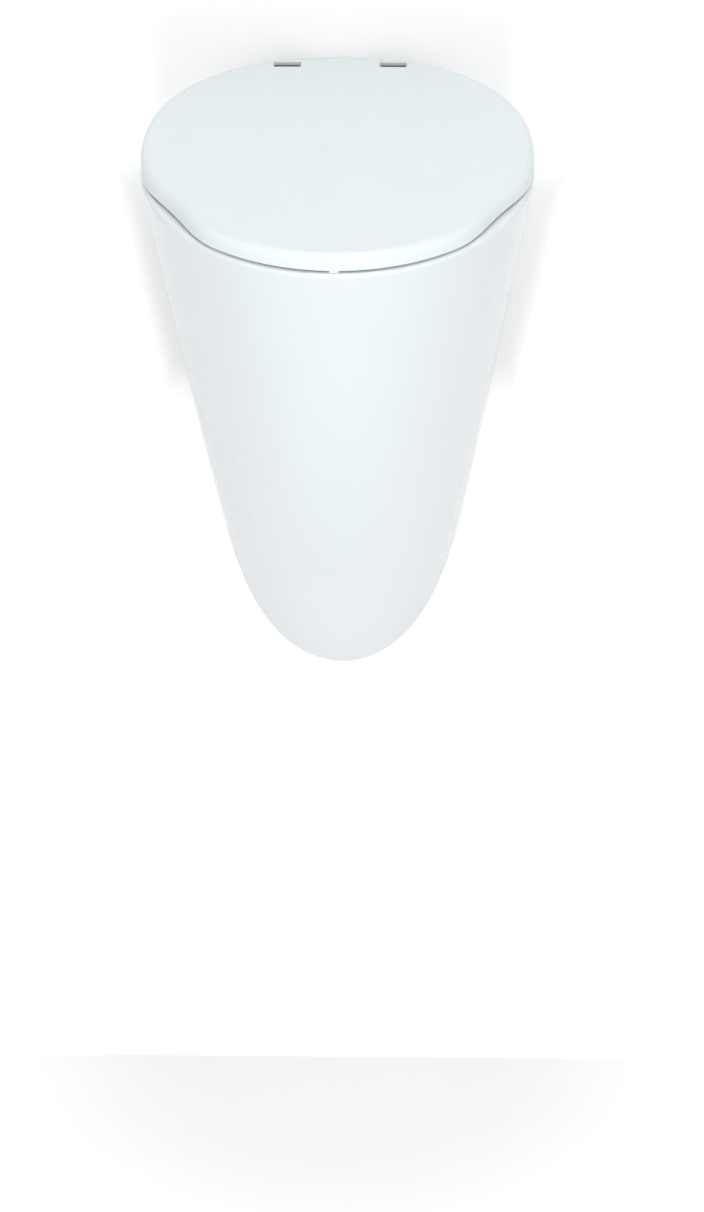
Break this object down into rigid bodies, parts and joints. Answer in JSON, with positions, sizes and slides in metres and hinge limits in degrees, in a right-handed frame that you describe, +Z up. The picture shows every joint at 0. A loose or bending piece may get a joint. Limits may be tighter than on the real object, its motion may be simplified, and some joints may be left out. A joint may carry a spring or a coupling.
{
  "type": "wall hung urinal",
  "caption": "Tapered wall hung ceramic urinal with a soft-closing oval lid, concealed inlet, concealed trap and hook fixing.",
  "frame": {"origin": "middle of the four hanger holes, on the wall plane", "axes": "+Y into the wall, +X to the right seen from the front, +Z up"},
  "size_m": [0.3471, 0.3531, 0.6488],
  "materials": {
    "ceramic": "smooth white glaze, slightly cool",
    "lid_plastic": "smooth white moulded plastic, satin gloss",
    "buffer_rubber": "pale soft stop",
    "hinge_metal": "dark satin metal",
    "damper_plastic": "grey moulded plastic",
    "steel": "plain stainless steel",
    "galvanised_steel": "zinc plated sheet",
    "chrome": "bright chrome",
    "brass": "plain brass",
    "nylon": "natural nylon",
    "cap_plastic": "white cap",
    "pipe_plastic": "light grey pipe plastic",
    "seal_rubber": "black rubber"
  },
  "bodies": {
    "urinal": {"ceramic_body": "ceramic", "hinge_post_left": "hinge_metal", "hinge_post_right": "hinge_metal", "hinge_foot_seals": "seal_rubber", "hinge_damper_left": "damper_plastic", "hinge_damper_right": "damper_plastic", "hinge_studs": "steel", "hinge_rubber_bushes": "seal_rubber", "hinge_washers": "steel", "hinge_wing_nuts": "nylon", "flush_spreader": "chrome", "spreader_gasket": "seal_rubber", "inlet_washer": "seal_rubber", "inlet_lock_nut": "brass", "inlet_connector": "pipe_plastic", "inlet_lip_seal": "seal_rubber", "waste_flange": "pipe_plastic", "waste_flange_gasket": "seal_rubber", "waste_strainer": "chrome", "strainer_screw": "steel", "waste_under_gasket": "seal_rubber", "waste_lock_nut": "pipe_plastic", "trap_body": "pipe_plastic", "trap_dip_tube": "pipe_plastic", "trap_neck_seal": "seal_rubber", "trap_union_nut": "pipe_plastic", "waste_socket_seal": "seal_rubber", "wall_hanger_left": "galvanised_steel", "wall_hanger_right": "galvanised_steel", "hanger_pads": "seal_rubber", "side_angle_left": "galvanised_steel", "side_angle_right": "galvanised_steel", "side_screw_sleeves": "nylon", "side_clamp_screws": "steel", "side_screw_caps": "cap_plastic"},
    "lid": {"lid": "lid_plastic", "lid_buffer_front": "buffer_rubber", "lid_buffers_side": "buffer_rubber", "lid_buffers_rear": "buffer_rubber", "hinge_pin_left": "steel", "hinge_pin_right": "steel", "hinge_pin_grub_screws": "steel"}
  },
  "joints": [
    {"name": "lid_hinge", "type": "hinge", "parent": "urinal", "child": "lid", "pos_m": [0, -0.02927, 0.15419], "axis": [-1, 0, 0], "range_deg": [0, 101]}
  ]
}
